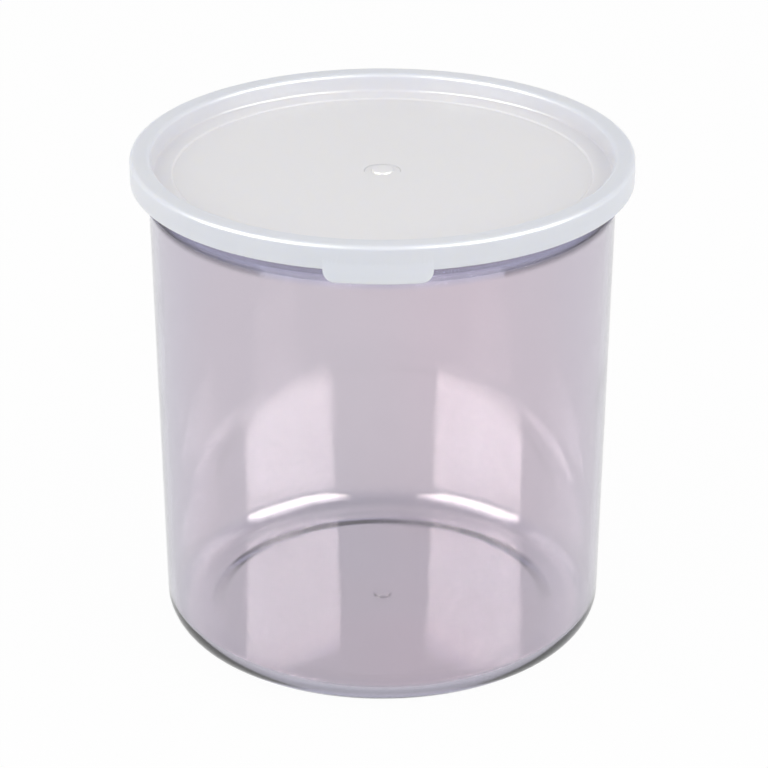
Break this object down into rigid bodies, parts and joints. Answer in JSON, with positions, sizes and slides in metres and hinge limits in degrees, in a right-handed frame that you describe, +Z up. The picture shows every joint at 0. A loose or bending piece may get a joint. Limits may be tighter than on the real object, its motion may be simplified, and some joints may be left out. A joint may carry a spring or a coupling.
{
  "type": "dough proofing container",
  "caption": "Round clear plastic crock with a raised-rim milky push-on lid and a pull tab, for proofing and storing dough.",
  "frame": {"origin": "on the axis of the crock, in the plane its foot ring stands on", "axes": "+Z up along the crock's axis, -Y towards the lid's pull tab, +X to the right seen from the tab's side"},
  "size_m": [0.163, 0.1637, 0.1652],
  "materials": {
    "clear_body": "clear, faint grey-mauve tint, polished moulded plastic",
    "milky_lid": "milky translucent, satin moulded plastic"
  },
  "bodies": {
    "crock": {"crock": "clear_body"},
    "lid": {"lid": "milky_lid"}
  },
  "joints": [
    {"name": "lid_lift", "type": "slide", "parent": "crock", "child": "lid", "axis": [0, 0, 1], "range_m": [0, 0.15]}
  ]
}
